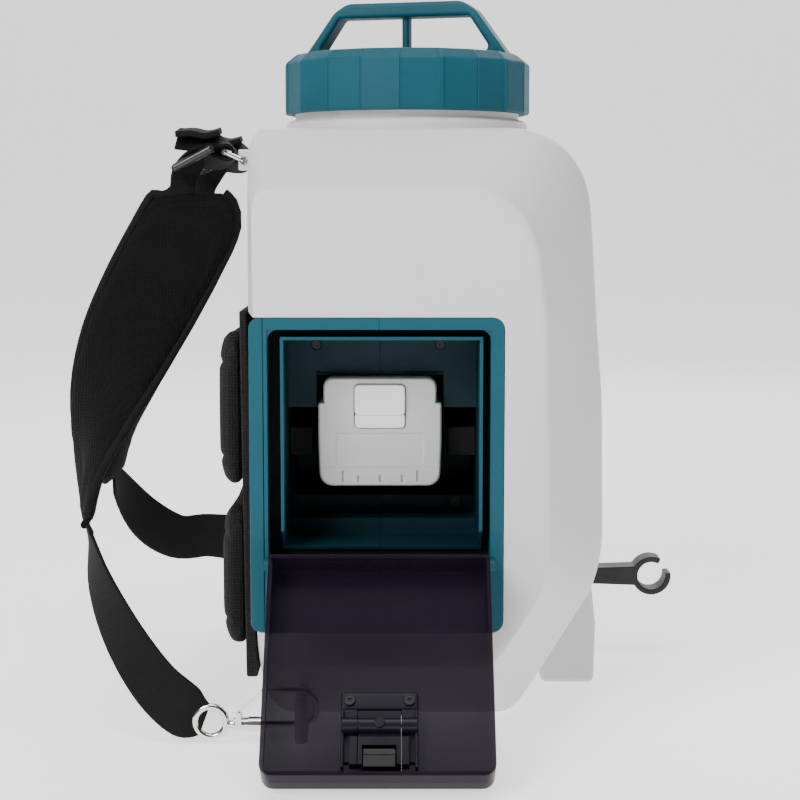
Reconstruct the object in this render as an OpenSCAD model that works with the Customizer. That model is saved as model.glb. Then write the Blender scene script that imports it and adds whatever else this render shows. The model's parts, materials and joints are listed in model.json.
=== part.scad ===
// Battery backpack sprayer: moulded tank, side battery bay with a drop-down cover, back pad and straps.
// X runs from the wearer's back to the rear of the tank, Y across the shoulders, Z up.
// The origin is in the middle of the tank's flat base.

/* [Tank] */
// Height of the tank body without its neck
tank_h = 372; // [310:1:450]
// Width of the tank across the shoulders
tank_w = 320; // [296:1:400]
// Rear face of the tank measured from the origin
tank_rear = 129; // [120:1:150]
// Back face of the tank at its top measured from the origin
tank_back = 95; // [92:1:110]
// Wall of the blow-moulded tank
tank_wall = 3; // [2.2:0.1:4]
// Width of the tank's full-depth middle band
band_w = 200; // [170:1:230]
// Inner radius of the filler neck
neck_r = 70; // [55:1:76]

/* [Cap] */
// Place of the filler neck along X
cap_x = 4.7; // [-5:0.1:15]
// Wall of the filler neck
neck_wall = 5; // [4:0.1:7]
// Wall of the cap's skirt
cap_wall = 7; // [5:0.1:9]
// Height of the cap's knurled band
cap_band_h = 33; // [26:1:40]
// Height of the bail handle over the cap
handle_h = 37; // [30:1:60]
// Thickness of the handle bar
handle_t = 10; // [8:0.5:14]
// Angle that the cap stands turned on its thread
cap_turned = 16; // [0:1:45]
// Rise of the cap in one turn on its thread
thread_pitch = 6; // [4:0.5:8]

/* [Housing] */
// Left-hand edge of the pump housing
house_x0 = -90; // [-91:0.5:-88]
// Right-hand edge of the pump housing
house_x1 = 62; // [58:0.5:70]
// Underside of the pump housing
house_z0 = 68; // [60:0.5:76]
// Top of the pump housing
house_z1 = 258; // [254:0.5:275]
// Wall of the pump housing
house_wall = 3; // [2:0.1:4]
// Depth of the battery bay
bay_depth = 148; // [147:1:160]

/* [Cover] */
// Length of the battery cover from its hinge
cover_l = 140; // [110:0.5:140]
// Thickness of the cover's clear plate
cover_t = 2.5; // [2:0.1:3]
// Depth of the cover's rim
cover_rim = 19; // [16:0.5:20]
// Angle that the cover stands open from shut
cover_open = 140; // [120:1:140]
// Radius of the cover's hinge pin
pin_r = 1.5; // [1.2:0.1:2]

/* [Battery] */
// Width of the battery pack
pack_w = 76.5; // [62:0.5:92]
// Height of the battery pack below its rails
pack_h = 51; // [44:0.5:52]
// Length of the battery pack
pack_l = 100; // [98:1:102]
// Radius of one cell in the pack
cell_r = 9; // [8:0.1:9.2]

/* [Harness] */
// Width of the strap webbing
web_w = 34; // [25:1:38]
// Thickness of the strap webbing
web_t = 3; // [2:0.5:4]
// Thickness of the shoulder pads
pad_t = 13; // [10:1:18]
// Distance of each shoulder strap from the middle
strap_y = 75; // [65:1:85]
// Thickness of the back cushions
cushion_t = 14; // [10:1:18]
// Radius of the snap hook's wire
wire_r = 2; // [1.6:0.1:2.4]
// Radius of the snap hook's bend
hook_r = 10.5; // [9:0.5:12]
// Angle that the right-hand snap hook is pulled up
right_lift = 38; // [0:1:40]

/* [Hidden] */

teal = "#276a7c";
milk = "#cfced0";
smoke = "#2a2430";
coal = "#1c1a1a";
steel = "#c8c4bc";
grey = "#b4b4b4";

fit = 0.4;        // gap between pieces that move past each other
snug = 0.05;      // running fit of a pin in its bore
half_w = tank_w / 2;
face_y = -half_w; // plane of the housing's front frame
band_y = band_w / 2;

// Filler neck and cap heights, from the tank top up
collar_h = 8;
neck_top = tank_h + 26;
neck_out = neck_r + neck_wall;
seal_t = 2.5;
cap_z0 = tank_h + collar_h + 4;
cap_z1 = cap_z0 + cap_band_h;
cap_r = neck_out + 0.8 + cap_wall;
cap_top_t = 5;
cap_edge = 9;     // bevel round the top of the cap
cap_z2 = cap_z1 + 6;
seam_x = -12.4;   // joint between the front and rear housing shells
back_x = -81.5;   // joint between the front shell and the back strip

// Battery bay, from the outside in
open_x0 = -79;
open_x1 = 54;
open_z0 = 107.5;
open_z1 = 251;
groove_d = 21;    // depth of the gasket groove
lip_w = 2;        // wall of the inner frame
bay_x0 = -71.5;
bay_x1 = 49.5;
bay_z0 = 116;
bay_z1 = 246.6;
bay_y1 = face_y + bay_depth;

// Battery, seated
pack_x = seam_x;
pack_y = face_y + 38;
pack_z = 151;
rail_w = pack_w - 6.5; // width of the pack's upper part
rail_h = 16.5;
pack_wall = 2;
block_y = face_y + 50; // front of the block that the pack slides under
block_z = 199;

// Cover hinge
hinge_y = face_y - 4;
hinge_z = 110;
cover_x0 = open_x0 + 1.5;
cover_x1 = open_x1 - 1;
knuckle_r = 3.4;
latch_x = -11.5;
latch_a = cover_l - 56; // distances of the latch from the hinge, up the shut cover
latch_b = cover_l - 45;
latch_c = cover_l - 44;
latch_d = cover_l - 8;
latch_n = 7;      // latch pin's height over the cover's inner face
latch_w = 44;
lever_w = 23;

// Snap hooks
hook_y = half_w + 4;
hook_x = -60.5;   // centre of the wire's bend
hook_z = 22.8;
ring_x = -98.5;   // pivot of the upper strap rings
lug_x = -59.8;
lug_t = 7.8;
lug_hole_r = 4.6;
ring_r = 9.3;     // strap ring of the snap hook
ring_dx = -54;
ring_dz = 1.5 - hook_r;

// The stretch of y0 to y1 with a section drawn in x and z
module across(y0, y1) {
  translate([0, y1, 0]) rotate([90, 0, 0]) linear_extrude(y1 - y0) children();
}

// A box from its lowest corner to its highest
module span(a, b) {
  translate(a) cube(b - a);
}

// A rectangle with round corners, from corner a to corner b
module soft_rect(a, b, r) {
  translate([a[0] + r, a[1]]) square([b[0] - a[0] - 2 * r, b[1] - a[1]]);
  translate([a[0], a[1] + r]) square([b[0] - a[0], b[1] - a[1] - 2 * r]);
  for (x = [a[0] + r, b[0] - r], y = [a[1] + r, b[1] - r]) translate([x, y]) circle(r, $fn = 32);
}

module rod_x(x0, x1, y, z, r) {
  translate([x0, y, z]) rotate([0, 90, 0]) cylinder(h = x1 - x0, r = r, $fn = 32);
}

module rod_y(y0, y1, x, z, r) {
  translate([x, y1, z]) rotate([90, 0, 0]) cylinder(h = y1 - y0, r = r, $fn = 32);
}

module rod_z(z0, z1, x, y, r) {
  translate([x, y, z0]) cylinder(h = z1 - z0, r = r, $fn = 32);
}

// ---- Tank ----

// Side view of the middle band, drawn in by d all round
module band_profile(d) {
  b = tank_back - d;
  r = tank_rear - d;
  t = tank_h - d;
  polygon([[-b + 7, t], [-b + 2, t - 8], [-b, t - 38], [-b, 259], [-b + 4, 41], [-b + 9, 12 + d],
    [-b + 19, d], [72 - d, d], [122 - d, 80], [r - 2, 97], [r, 113], [r - 1.5, 202], [r - 5, 246],
    [r - 10, t - 48], [r - 13, t - 32], [r - 24, t - 14], [r - 39, t - 4], [r - 54, t]]);
}

// Side view of the raised side panels
module panel_profile(d) {
  t = tank_h - 38 - d;
  r = tank_rear - 38 - d;
  polygon([[-88 + d, t], [-44 + r, t], [r - 29, t - 6], [r - 16, t - 18], [r - 9, t - 36], [r - 3, 251],
    [r, 112], [r - 7, 88], [r - 25, 60], [r - 36, 46 + d], [-80 + d, 46 + d], [-86 + d, 70]]);
}

module tank_form(d) {
  hull() {
    across(-band_y + d, band_y - d) band_profile(d);
    across(-half_w + d, half_w - d) panel_profile(d);
  }
}

module housing_notch(g) {
  span([-200, -half_w - 10, house_z0 - g], [house_x1 + g, half_w + 10, house_z1 + g]);
}

module rear_leg() {
  across(-30, 30) polygon([[96, 0], [132, 0], [133, 41], [128, 84], [112, 84], [92, 30]]);
}

module upper_lug(side) {
  difference() {
    span([-102, side * strap_y - 6, tank_h - 26], [-88, side * strap_y + 6, tank_h - 13]);
    rod_y(side * strap_y - 8, side * strap_y + 8, ring_x, tank_h - 20, wire_r + 0.3);
  }
}

module lower_lug(side) {
  y0 = side > 0 ? 100 : -hook_y - 7;
  y1 = side > 0 ? hook_y + 7 : -100;
  difference() {
    span([lug_x - lug_t / 2, y0, 1], [lug_x + lug_t / 2, y1, 29]);
    rod_x(lug_x - lug_t, lug_x + lug_t, side * hook_y, hook_z - hook_r, lug_hole_r);
  }
}

module tank() color(milk) {
  difference() {
    union() {
      tank_form(0);
      rear_leg();
      rod_z(tank_h - 2, tank_h + collar_h, cap_x, 0, neck_out + 6);
      rod_z(tank_h - 2, neck_top, cap_x, 0, neck_out);
      for (z = [1, 2] * -thread_pitch) rod_z(neck_top + z, neck_top + z + 2, cap_x, 0, neck_out + 0.5);
      for (side = [-1, 1]) {
        upper_lug(side);
        lower_lug(side);
      }
    }
    difference() {
      tank_form(tank_wall);
      housing_notch(tank_wall + fit);
    }
    housing_notch(fit);
    rod_z(tank_h - 20, neck_top + 1, cap_x, 0, neck_r);
    // outlet for the pump's suction tube
    rod_z(house_z0 - 10, house_z0, seam_x, 40, 6.2);
  }
}

module strainer_basket() color(coal) {
  r = neck_r - 1;
  h = 55;
  difference() {
    union() {
      rod_z(neck_top - h, neck_top, cap_x, 0, r);
      rod_z(neck_top, neck_top + 2, cap_x, 0, neck_out - 1);
    }
    rod_z(neck_top - h + 2, neck_top + 3, cap_x, 0, r - 2);
    for (a = [0:30:330]) translate([cap_x, 0, neck_top - h + 8]) rotate([0, 0, a])
      translate([r - 6, -8, 0]) cube([12, 16, 20]);
  }
}

// ---- Cap ----

module cap_seal() color(coal) {
  difference() {
    rod_z(neck_top + 2.2, neck_top + 2.2 + seal_t, cap_x, 0, neck_out);
    rod_z(neck_top, neck_top + 9, cap_x, 0, neck_r - 4);
  }
}

module filler_cap() color(teal) {
  top = cap_z2 - cap_top_t;
  difference() {
    union() {
      rod_z(cap_z0, cap_z1, cap_x, 0, cap_r - 1.6);
      rod_z(cap_z1 - 1, cap_z2, cap_x, 0, cap_r - cap_edge);
      translate([cap_x, 0, cap_z1 - 1])
        cylinder(h = 6, r1 = cap_r - 1.6, r2 = cap_r - cap_edge - 1, $fn = 64);
      for (a = [0:30:330]) translate([cap_x, 0, cap_z0 + 1]) rotate([0, 0, a - cap_turned])
        translate([cap_r - 4, -9, 0]) cube([3.2, 18, cap_band_h - 2]);
    }
    rod_z(cap_z0 - 1, neck_top + 2.4 + seal_t, cap_x, 0, neck_out + 0.8);
    rod_z(cap_z0 - 1, top, cap_x, 0, neck_r - 8);
  }
}

module cap_handle() color(teal) {
  z0 = cap_z2 + 0.02;
  z1 = z0 + handle_h - 2;
  a = cap_r - cap_edge - 3.8;
  translate([cap_x, 0, 0]) rotate([0, 0, -cap_turned]) {
    across(-handle_t, handle_t) difference() {
      polygon([[-a, z0], [-a + 22, z1 - 6], [-a + 31.5, z1], [a - 31.5, z1], [a - 22, z1 - 6], [a, z0]]);
      polygon([[8.5 - a, z0 + 3], [25 - a, z1 - 9], [a - 25, z1 - 9], [a - 8.5, z0 + 3]]);
    }
    across(-handle_t / 2, handle_t / 2) polygon([[-2, z0 + 2], [-2, z1 - 8], [2, z1 - 8], [2, z0 + 2]]);
  }
}

module vent_valve() color(grey) {
  rod_z(cap_z2 - cap_top_t - 5, cap_z2 - cap_top_t, cap_x + 25, 0, 8);
  rod_z(cap_z2 - cap_top_t - 8, cap_z2 - cap_top_t - 5, cap_x + 25, 0, 4);
}

// ---- Housing ----

module housing_shell() {
  difference() {
    across(-half_w, half_w) soft_rect([house_x0, house_z0], [house_x1, house_z1], 6);
    across(-half_w + house_wall, half_w - house_wall)
      soft_rect([house_x0, house_z0] + house_wall * [1, 1], [house_x1, house_z1] - house_wall * [1, 1], 4);
    span([open_x0, face_y - 1, open_z0], [open_x1, face_y + 10, open_z1]);
  }
}

// Walls of the gasket groove round the opening
module groove_walls() {
  difference() {
    span([open_x0 - lip_w, face_y, open_z0 - lip_w],
      [open_x1 + lip_w, face_y + groove_d + lip_w, open_z1 + lip_w]);
    span([open_x0, face_y - 1, open_z0], [open_x1, face_y + groove_d, open_z1]);
    span([bay_x0 + lip_w, face_y, bay_z0 + lip_w], [bay_x1 - lip_w, face_y + 40, bay_z1 - lip_w]);
  }
}

module bay_box() {
  difference() {
    span([bay_x0, face_y + 3, bay_z0], [bay_x1, bay_y1 + lip_w, bay_z1]);
    span([bay_x0 + lip_w, face_y, bay_z0 + lip_w], [bay_x1 - lip_w, bay_y1, bay_z1 - lip_w]);
    // room for the cover's rim to swing
    rod_x(bay_x0 - 1, bay_x1 + 1, hinge_y, hinge_z, cover_rim + 1.5);
  }
  // ledges of the bay floor
  span([bay_x0 + 1, face_y + 55, bay_z0 + 1], [bay_x1 - 1, bay_y1 + 1, bay_z0 + 12]);
  span([bay_x0 + 1, face_y + 85, bay_z0 + 1], [bay_x1 - 1, bay_y1 + 1, bay_z0 + 22]);
  difference() {
    span([bay_x0 + 1, block_y, block_z], [bay_x1 - 1, bay_y1 + 1, bay_z1 - 1]);
    span([pack_x - rail_w / 2 - 4.5, block_y - 1, block_z - 1],
      [pack_x + rail_w / 2 + 4.5, bay_y1, pack_z + pack_h + rail_h + 3]);
  }
}

module hinge_ear(x0, x1) {
  difference() {
    union() {
      rod_x(x0, x1, hinge_y, hinge_z, knuckle_r);
      span([x0, hinge_y, hinge_z - knuckle_r], [x1, face_y + 1, hinge_z + knuckle_r]);
    }
    rod_x(x0 - 1, x1 + 1, hinge_y, hinge_z, pin_r);
  }
}

module housing_form() {
  difference() {
    union() {
      housing_shell();
      groove_walls();
      bay_box();
      hinge_ear(back_x + 0.1, cover_x0 - fit);
      hinge_ear(cover_x1 + fit, cover_x1 + 4);
    }
    rod_y(face_y - 1, face_y + 5, -41.6, 78, 9.2);
    rod_y(face_y - 1, face_y + 5, -0.3, 80.6, 4.6);
    span([6, face_y - 1, 75], [26, face_y + 5, 85]);
    rod_z(house_z0 - 1, house_z0 + 5, seam_x, 40, 5.2);
    rod_y(half_w - 5, half_w + 1, 25, 100, 6.2);
    rod_y(face_y + 84, face_y + 91, 36, 132.5, 4.2);
    for (x = [-52, 25]) rod_y(block_y - 1, block_y + 8, x, 238, 3.2);
  }
}

module housing_front() color(teal) {
  intersection() {
    housing_form();
    span([back_x, -400, 0], [seam_x - 0.05, 400, 400]);
  }
}

module housing_rear() color(teal) {
  intersection() {
    housing_form();
    span([seam_x + 0.05, -400, 0], [200, 400, 400]);
  }
}

module housing_back() color(teal) {
  intersection() {
    housing_form();
    span([-200, -400, 0], [back_x - 0.1, 400, 400]);
  }
}

module housing_screws() color(coal) {
  for (x = [-52, 25]) rod_y(block_y + 1, block_y + 7, x, 238, 3);
  rod_y(face_y + 86, face_y + 90.5, 36, 132.5, 4);
}

module frame_gasket() color(coal) {
  difference() {
    span([open_x0 + 0.3, face_y + groove_d - 2, open_z0 + 0.3],
      [open_x1 - 0.3, face_y + groove_d - 0.05, open_z1 - 0.3]);
    span([bay_x0 - 0.3, face_y, bay_z0 - 0.3], [bay_x1 + 0.3, face_y + 40, bay_z1 + 0.3]);
  }
}

module terminal_block() color(coal) {
  z = pack_z + pack_h + rail_h + 3.2;
  span([pack_x - 20, bay_y1 - 8, z - 14], [pack_x + 20, bay_y1 - 0.1, z - 0.4]);
}

module side_pads() color(coal) {
  for (s = [-1, 1]) {
    x0 = s < 0 ? bay_x0 + lip_w + 0.1 : pack_x + pack_w / 2 + 4;
    x1 = s < 0 ? pack_x - pack_w / 2 - 4 : bay_x1 - lip_w - 0.1;
    span([x0, pack_y + 16, 168], [x1, pack_y + 70, 186]);
  }
}

// ---- Battery ----

module pack_outline(d) {
  w = pack_w / 2 - d;
  c = rail_w / 2 - d;
  z1 = pack_z + pack_h;
  polygon([[pack_x - w + 8, pack_z + d], [pack_x + w - 8, pack_z + d], [pack_x + w - 1.5, pack_z + 8],
    [pack_x + w, z1 - 3 - d], [pack_x + w, z1 - d], [pack_x + c, z1 - d], [pack_x + c, z1 + rail_h - 4 - d],
    [pack_x + c - 4, z1 + rail_h - d], [pack_x - c + 4, z1 + rail_h - d], [pack_x - c, z1 + rail_h - 4 - d],
    [pack_x - c, z1 - d], [pack_x - w, z1 - d], [pack_x - w, z1 - 3 - d], [pack_x - w + 1.5, pack_z + 8]]);
}

pack_split = pack_z + 12; // joint between the pack's case and its base

module pack_shell() {
  difference() {
    across(pack_y, pack_y + pack_l) pack_outline(0);
    across(pack_y + pack_wall, pack_y + pack_l - pack_wall) pack_outline(pack_wall);
  }
}

button_z0 = pack_z + 36;
button_z1 = pack_z + 64;

module battery_case() color(grey) {
  difference() {
    intersection() {
      pack_shell();
      span([-200, -400, pack_split + 0.05], [200, 400, 400]);
    }
    span([pack_x - 16, pack_y - 1, button_z0], [pack_x + 16, pack_y + 5, button_z1]);
  }
}

module battery_base() color(grey) {
  intersection() {
    pack_shell();
    span([-200, -400, 0], [200, 400, pack_split - 0.05]);
  }
}

module battery_button() color("white") {
  span([pack_x - 15.4, pack_y - 2.6, button_z0 + 8], [pack_x + 15.4, pack_y + 3, button_z1 - 0.5]);
  span([pack_x - 15.4, pack_y - 1.2, button_z0 + 0.5], [pack_x + 15.4, pack_y + 3, button_z0 + 8.5]);
}

module battery_cells() color(steel) {
  l = pack_w / 2 - 7.25;
  for (i = [0:4], j = [0, 1])
    rod_x(pack_x - l, pack_x + l, pack_y + 13 + i * 18.6, pack_z + 14 + j * 18.6, cell_r);
}

module battery_terminals() color("gold") {
  z = pack_z + pack_h;
  for (x = [pack_x - 12, pack_x + 12])
    span([x - 1, pack_y + pack_l - 12, z], [x + 1, pack_y + pack_l - 2.5, z + rail_h - 4]);
}

// ---- Cover and latch, drawn shut and swung open about the hinge ----

module swung() {
  translate([0, hinge_y, hinge_z]) rotate([cover_open, 0, 0]) children();
}

module cover() color(smoke) swung() {
  n0 = -1;
  n1 = n0 + cover_t;
  rim = n1 + cover_rim;
  difference() {
    union() {
      span([cover_x0, n0, 3.2], [cover_x1, n1, cover_l]);
      span([cover_x0, n0, 3.2], [cover_x0 + cover_t, rim, cover_l]);
      span([cover_x1 - cover_t, n0, 3.2], [cover_x1, rim, cover_l]);
      span([cover_x0, n0, cover_l - cover_t], [cover_x1, rim, cover_l]);
      span([cover_x0, n0, 3.2], [cover_x1, rim - 2, 3.2 + cover_t]);
      rod_x(cover_x0, cover_x1, 0, 0, knuckle_r);
      span([cover_x0, n0, 0], [cover_x1, n1, 4]);
    }
    rod_x(cover_x0 - 1, cover_x1 + 1, 0, 0, pin_r + snug);
    span([latch_x - lever_w / 2 - 0.8, n0 - 1, latch_c], [latch_x + lever_w / 2 + 0.8, n1 + 1, latch_d]);
  }
}

module cover_pin() color(steel) {
  rod_x(back_x + 0.2, cover_x1 + 3.9, hinge_y, hinge_z, pin_r);
}

inner_n = cover_t - 1; // the cover's inner face, from the hinge axis

module latch_plate() color(smoke) swung() {
  span([latch_x - latch_w / 2, inner_n + 0.02, latch_a], [latch_x + latch_w / 2, inner_n + 3, latch_b]);
}

module latch_screws() color(steel) swung() {
  for (s = [-1, 1]) rod_y(inner_n + 3.02, inner_n + 4.6, latch_x + s * 17, latch_a + 5.5, 3);
}

module latch_base() color(smoke) swung() {
  for (s = [-1, 1]) {
    x0 = latch_x + (s < 0 ? -latch_w / 2 : lever_w / 2 + 0.8);
    x1 = latch_x + (s < 0 ? -lever_w / 2 - 0.8 : latch_w / 2);
    difference() {
      union() {
        span([x0, inner_n + 0.02, latch_b + 0.1], [x1, inner_n + 4, latch_d - 5]);
        rod_x(x0, x1, inner_n + latch_n, latch_c + 10, 4.5);
        span([x0, inner_n + 0.02, latch_c + 5.5], [x1, inner_n + latch_n, latch_c + 14.5]);
      }
      rod_x(x0 - 1, x1 + 1, inner_n + latch_n, latch_c + 10, 1.5);
    }
  }
}

module latch_lever() color(smoke) swung() {
  difference() {
    union() {
      span([latch_x - lever_w / 2, -1, latch_c + 5], [latch_x + lever_w / 2, inner_n + 3, latch_d - 1.5]);
      rod_x(latch_x - lever_w / 2, latch_x + lever_w / 2, inner_n + latch_n, latch_c + 10, 4.4);
      span([latch_x - lever_w / 2, inner_n, latch_c + 6],
        [latch_x + lever_w / 2, inner_n + latch_n, latch_c + 14]);
    }
    rod_x(latch_x - 30, latch_x + 30, inner_n + latch_n, latch_c + 10, 1.55);
  }
}

module latch_hook() color(coal) swung() {
  translate([latch_x - 9, 0, 0]) rotate([90, 0, 90]) linear_extrude(18)
    polygon([[inner_n + 3.02, latch_d - 12], [inner_n + 3.02, latch_d - 2], [inner_n + 11, latch_d - 2],
      [inner_n + 13, latch_d + 1], [inner_n + 13, latch_d - 6], [inner_n + 9, latch_d - 8],
      [inner_n + 8, latch_d - 12]]);
}

module latch_pin() color(steel) swung() {
  rod_x(latch_x - latch_w / 2 + 0.5, latch_x + latch_w / 2 - 0.5, inner_n + latch_n, latch_c + 10, 1.5);
}

// ---- Control panel under the bay ----

module power_button() color(coal) {
  rod_y(face_y - 1.5, face_y + 2.6, -41.6, 78, 9);
  rod_y(face_y + 2.5, face_y + 8, -41.6, 78, 5);
}

module status_lamp() color("orange") {
  rod_y(face_y - 0.6, face_y + 8, -0.3, 80.6, 4.5);
}

module gauge_window() color("darkslategray") {
  span([6.2, face_y - 0.4, 75.2], [25.8, face_y + 6, 84.8]);
}

module control_board() color("darkgreen") {
  span([-60, face_y + 10.5, 73], [40, face_y + 12.1, 98]);
}

// ---- Pump ----

motor_z = 165;
motor_x = seam_x;

module motor() color(steel) {
  difference() {
    union() {
      rod_y(60, 118, motor_x, motor_z, 20);
      rod_y(54, 60, motor_x, motor_z, 9);
    }
    rod_y(50, 90, motor_x, motor_z, 3.05);
  }
}

module motor_shaft() color(steel) {
  rod_y(28, 89, motor_x, motor_z, 3);
}

module pump_cam() color("goldenrod") {
  difference() {
    rod_y(30, 40, motor_x, motor_z + 2, 9);
    rod_y(20, 50, motor_x, motor_z, 3);
  }
}

module pump_head() color(coal) {
  difference() {
    union() {
      span([motor_x - 24, 18, 100], [motor_x + 24, 56, 150]);
      rod_y(8, 18, motor_x, 125, 15);
    }
    rod_z(99, 120, motor_x, 40, 4.2);
  }
}

module suction_tube() color(grey) {
  difference() {
    rod_z(house_z0 - 40, 119, seam_x, 40, 4);
    rod_z(house_z0 - 41, 120, seam_x, 40, 2.5);
  }
}

module outlet_tube() color(grey) {
  difference() {
    union() {
      rod_y(57, half_w - 12, 25, 100, 4);
      rod_x(motor_x + 24.1, 29, 53, 108, 3.6);
      rod_z(100, 111, 25, 57, 3.6);
    }
    rod_y(60, half_w, 25, 100, 2.4);
  }
}

barb_l = 24;

module outlet_barb() color(coal) {
  difference() {
    union() {
      rod_y(half_w - 11.9, half_w, 25, 100, 6);
      rod_y(half_w + 0.1, half_w + 4, 25, 100, 9);
      rod_y(half_w, half_w + barb_l, 25, 100, 5);
    }
    rod_y(half_w - 13, half_w + barb_l + 1, 25, 100, 2.5);
  }
}

module lance_clip() color(coal) {
  y = 60;
  z = 57;
  difference() {
    union() {
      across(y - 9, y + 9) polygon([[115, z - 5], [172, z - 7], [172, z + 7], [115, z + 5]]);
      translate([182, y + 9, z]) rotate([90, 0, 0]) cylinder(h = 18, r = 14, $fn = 48);
    }
    translate([182, y + 10, z]) rotate([90, 0, 0]) cylinder(h = 20, r = 10, $fn = 48);
    across(y - 10, y + 10) polygon([[182, z], [194, z + 22], [206, z + 22], [206, z + 4]]);
    tank_form(-0.3);
  }
}

// ---- Back pad ----

module back_board() color(coal) {
  b = tank_back + 0.4;
  across(-105, 105) polygon([[-b, 259], [-b - 5, 259], [-b - 2.5, 25], [-b + 5, 25], [-b + 4, 41]]);
}

module cushion(z0, z1, lean) {
  x = -tank_back - 5 + lean;
  across(-98, 98)
    polygon([[x, z0], [x - cushion_t + 4, z0 + 5], [x - cushion_t, z0 + 16], [x - cushion_t, z1 - 16],
      [x - cushion_t + 4, z1 - 5], [x, z1]]);
}

module upper_cushion() color(coal) cushion(144, 245, -0.5);

module lower_cushion() color(coal) cushion(40, 133, 0.8);

// ---- Harness ----

pad_top = tank_h - 39; // ends of the shoulder pads
pad_low = 124;

// Right-hand strap hangs this much further out than the left
function out(side) = side > 0 ? -14 : 0;

function unit(v) = v / norm(v);

// Direction of a route at its point i
function along(route, i) = unit(route[min(i + 1, len(route) - 1)] - route[max(i - 1, 0)]);

// Four corners of a strap's section at point i; wide is the way its width lies
function section(route, wide, widths, t, i) =
  let (a = along(route, i), d = unit(wide[i] - (wide[i] * a) * a), n = cross(a, d), w = widths[i] / 2)
    [route[i] - w * d - t / 2 * n, route[i] + w * d - t / 2 * n, route[i] + w * d + t / 2 * n,
      route[i] - w * d + t / 2 * n];

// A strap or pad with a rectangular section, swept along a route
module ribbon(route, wide, widths, t) {
  last = len(route) - 1;
  points = [for (i = [0:last]) each section(route, wide, widths, t, i)];
  sides = [for (i = [0:last - 1], k = [0:3])
    [4 * i + k, 4 * i + (k + 1) % 4, 4 * i + 4 + (k + 1) % 4, 4 * i + 4 + k]];
  polyhedron(points, concat(sides, [[3, 2, 1, 0], [for (k = [0:3]) 4 * last + k]]));
}

module upper_ring(side) {
  y = side * strap_y;
  x0 = ring_x;
  x1 = ring_x - 11;
  z0 = tank_h - 20;
  z1 = z0 + 5;
  for (p = [[x0, z0], [x1, z1]]) rod_y(y - 15, y + 15, p[0], p[1], wire_r - 0.2);
  for (s = [-1, 1]) translate([x0, y + s * 13.6, z0]) rotate([0, atan2(x1 - x0, z1 - z0), 0])
    cylinder(h = norm([x1 - x0, z1 - z0]), r = wire_r - 0.5, $fn = 24);
}

module upper_webbing(side) {
  y = side * strap_y;
  z = tank_h;
  o = out(side) / 2;
  difference() {
    across(y - 12, y + 12) polygon([[-140, z - 1], [-116, z - 2], [-107, z - 8], [-104, z - 16],
      [-110, z - 23], [-127, z - 23], [-130 + o, z - 40 + o], [-146 + o, z - 40 + o]]);
    rod_y(y - 13, y + 13, ring_x - 11, z - 15, wire_r);
  }
}

module adjuster(side) {
  y = side * strap_y;
  z = tank_h - 26;
  for (s = [-1, 1]) across(y + s * 16 - 3, y + s * 16 + 3)
    polygon([[-142, z + 2], [-138, z - 4], [-116, z + 9], [-118, z + 14]]);
}

module shoulder_pad(side) {
  y = side * strap_y;
  drop = [0, 12, 37, 65, 97, 133, 173, 209] * (pad_top - pad_low) / 209;
  aside = [0, 0, 1, 3, 7, 11, 15, 17];
  back = [-128, -130, -143, -158, -174, -188, -197, -200];
  route = [for (i = [0:7]) [back[i] + out(side), y + side * aside[i], pad_top - drop[i]]];
  flat = [0.88, 0, -0.48];
  wide = [for (p = [flat, flat, flat, flat, [0.86, 0.2, -0.42], [0.75, 0.6, -0.3], [0.4, 0.9, -0.1],
    [0.1, 1, 0]]) [p[0], side * p[1], p[2]]];
  ribbon(route, wide, [40, 64, 66, 66, 64, 62, 58, 46], pad_t);
}

// Route of each lower webbing, from the snap hook's ring up to the shoulder pad
low_route = [[-118, -hook_y, 15], [-130, 1 - hook_y, 20], [-150, -152, 34], [-172, -134, 60],
  [-190, -112, 90], [-199, -strap_y - 19, pad_low - 2]];
low_route_right = [[-113, hook_y, 52], [-127, hook_y - 1, 62], [-150, 160, 66], [-174, 150, 67],
  [-196, 124, 88], [-213, strap_y + 20, pad_low - 2]];

module lower_webbing(side) {
  wide = [for (p = [[0.3, 0, 0.95], [0.3, 0, 0.95], [0.5, 0.1, 0.86], [0.6, 0.4, 0.7], [0.5, 0.8, 0.3],
    [0.1, 1, 0]]) [p[0], side * p[1], p[2]]];
  ribbon(side < 0 ? low_route : low_route_right, wide, [for (i = [0:5]) web_w - (i == 0 ? 14 : 0)], web_t);
}

// The hook side of a snap hook, turned about its bend by the pull of the strap
module hooked(side) {
  lift = side > 0 ? right_lift : 0;
  translate([hook_x, side * hook_y, hook_z]) rotate([0, lift, 0]) children();
}

module snap_hook(side) {
  hooked(side) {
    rotate([90, 0, 0]) rotate([0, 0, -90]) rotate_extrude(angle = 180, $fn = 64)
      translate([hook_r, 0]) circle(wire_r, $fn = 24);
    rod_x(-23, 0, 0, -hook_r, wire_r);
    rod_x(-19, 0, 0, hook_r, wire_r);
    rod_x(-31, -22.5, 0, -hook_r, 4.6);
    rod_x(-40, -30, 0, -hook_r, 4);
    rod_x(-44, -39, 0, -hook_r, 2.6);
    for (s = [-1, 1]) rod_y(s * 4 - 0.7, s * 4 + 0.7, gate_dx, gate_dz, 1.8);
    for (s = [-1, 1]) span([gate_dx - 1.8, s * 4 - 0.7, -hook_r], [gate_dx + 1.8, s * 4 + 0.7, gate_dz]);
    rod_y(-4.5, 4.5, gate_dx, gate_dz, 0.8);
    translate([ring_dx, 0, ring_dz]) rotate([90, 0, 0]) rotate_extrude($fn = 64)
      translate([ring_r, 0]) circle(2.1, $fn = 24);
  }
}

// Pivot of the spring gate, from the wire's bend
gate_dx = -37;
gate_dz = -hook_r + 6.6;

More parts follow.
